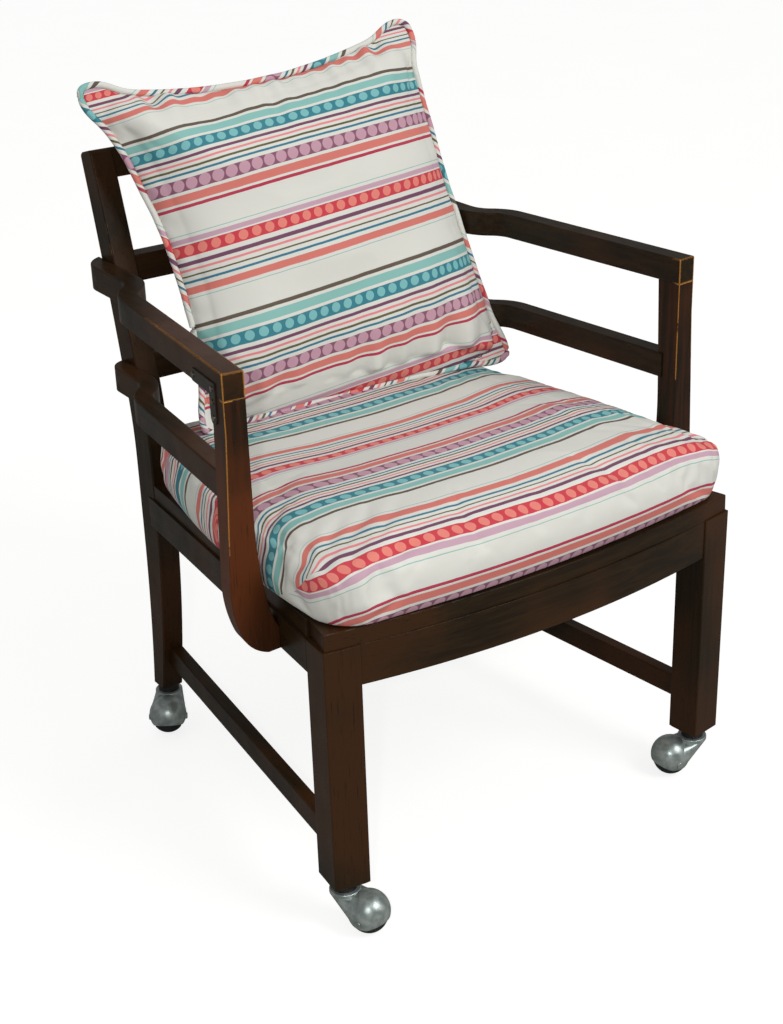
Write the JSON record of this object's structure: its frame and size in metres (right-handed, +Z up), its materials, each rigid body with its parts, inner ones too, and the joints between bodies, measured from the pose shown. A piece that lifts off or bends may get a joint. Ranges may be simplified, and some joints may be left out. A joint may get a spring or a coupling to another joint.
{
  "type": "planters armchair on ball casters",
  "caption": "Dark wooden armchair with slatted back, jogged arms, a striped seat cushion, a loose striped back pillow and swivelling ball casters under its legs.",
  "frame": {"origin": "middle of the footprint on the floor, where the casters stand", "axes": "+Z up, +Y to the back, +X to the right of someone who stands in front of the chair and looks at it; left and right in the names are that viewer's"},
  "size_m": [0.6766, 0.653, 0.9014],
  "materials": {
    "frame_wood": "dark glossy lacquer with worn edges",
    "inner_wood": "plain sawn wood",
    "seat_fabric": "striped cotton",
    "pillow_fabric": "striped cotton",
    "caster_zinc": "satin zinc plate",
    "caster_steel": "turned steel",
    "socket_black": "black",
    "ball_rubber": "matte black",
    "brace_paint": "painted over with the frame",
    "screw_steel": "dull, lacquered over"
  },
  "bodies": {
    "frame": {"arm_brace_left": "brace_paint", "arm_brace_right": "brace_paint", "arm_left": "frame_wood", "arm_right": "frame_wood", "arm_screws": "screw_steel", "arm_stump_left": "frame_wood", "arm_stump_right": "frame_wood", "back_rail_lower": "frame_wood", "back_rail_middle": "frame_wood", "back_rail_top": "frame_wood", "brace_screws": "screw_steel", "caster_socket_front_left": "socket_black", "caster_socket_front_right": "socket_black", "caster_socket_rear_left": "socket_black", "caster_socket_rear_right": "socket_black", "corner_blocks": "inner_wood", "frame_dowels": "inner_wood", "front_apron": "frame_wood", "front_leg_left": "frame_wood", "front_leg_right": "frame_wood", "lower_arm_rail_left": "frame_wood", "lower_arm_rail_right": "frame_wood", "rear_apron": "frame_wood", "rear_post_left": "frame_wood", "rear_post_right": "frame_wood", "rim_front": "frame_wood", "rim_left": "frame_wood", "rim_rear": "frame_wood", "rim_right": "frame_wood", "seat_board": "inner_wood", "seat_cleat_front": "inner_wood", "seat_cleat_left": "inner_wood", "seat_cleat_rear": "inner_wood", "seat_cleat_right": "inner_wood", "seat_cushion": "seat_fabric", "side_apron_left": "frame_wood", "side_apron_right": "frame_wood", "side_stretcher_left": "frame_wood", "side_stretcher_right": "frame_wood", "stump_plugs": "frame_wood", "stump_screws": "screw_steel"},
    "swivel_front_left": {"caster_hood_front_left": "caster_zinc", "caster_stem_front_left": "caster_steel", "caster_axle_front_left": "caster_zinc"},
    "ball_front_left": {"caster_ball_front_left": "ball_rubber"},
    "swivel_front_right": {"caster_hood_front_right": "caster_zinc", "caster_stem_front_right": "caster_steel", "caster_axle_front_right": "caster_zinc"},
    "ball_front_right": {"caster_ball_front_right": "ball_rubber"},
    "swivel_rear_left": {"caster_hood_rear_left": "caster_zinc", "caster_stem_rear_left": "caster_steel", "caster_axle_rear_left": "caster_zinc"},
    "ball_rear_left": {"caster_ball_rear_left": "ball_rubber"},
    "swivel_rear_right": {"caster_hood_rear_right": "caster_zinc", "caster_stem_rear_right": "caster_steel", "caster_axle_rear_right": "caster_zinc"},
    "ball_rear_right": {"caster_ball_rear_right": "ball_rubber"},
    "pillow": {"back_pillow": "pillow_fabric"}
  },
  "joints": [
    {"name": "swivel_front_left", "type": "hinge", "parent": "frame", "child": "swivel_front_left", "pos_m": [-0.27118, -0.27242, 0.06], "axis": [0, 0, 1], "continuous": true},
    {"name": "roll_front_left", "type": "hinge", "parent": "swivel_front_left", "child": "ball_front_left", "pos_m": [-0.25821, -0.30113, 0.0225], "axis": [0.9114, 0.4115, 0], "continuous": true},
    {"name": "swivel_front_right", "type": "hinge", "parent": "frame", "child": "swivel_front_right", "pos_m": [0.27118, -0.27242, 0.06], "axis": [0, 0, 1], "continuous": true},
    {"name": "roll_front_right", "type": "hinge", "parent": "swivel_front_right", "child": "ball_front_right", "pos_m": [0.24038, -0.26581, 0.0225], "axis": [-0.2096, -0.9778, 0], "continuous": true},
    {"name": "swivel_rear_left", "type": "hinge", "parent": "frame", "child": "swivel_rear_left", "pos_m": [-0.22471, 0.25096, 0.06], "axis": [0, 0, 1], "continuous": true},
    {"name": "roll_rear_left", "type": "hinge", "parent": "swivel_rear_left", "child": "ball_rear_left", "pos_m": [-0.24209, 0.2247, 0.0225], "axis": [0.8339, -0.5519, 0], "continuous": true},
    {"name": "swivel_rear_right", "type": "hinge", "parent": "frame", "child": "swivel_rear_right", "pos_m": [0.22471, 0.25096, 0.06], "axis": [0, 0, 1], "continuous": true},
    {"name": "roll_rear_right", "type": "hinge", "parent": "swivel_rear_right", "child": "ball_rear_right", "pos_m": [0.23949, 0.27878, 0.0225], "axis": [-0.8829, 0.4695, 0], "continuous": true},
    {"name": "pillow_lift", "type": "slide", "parent": "frame", "child": "pillow", "axis": [0, 0, 1], "range_m": [0, 0.25]}
  ]
}
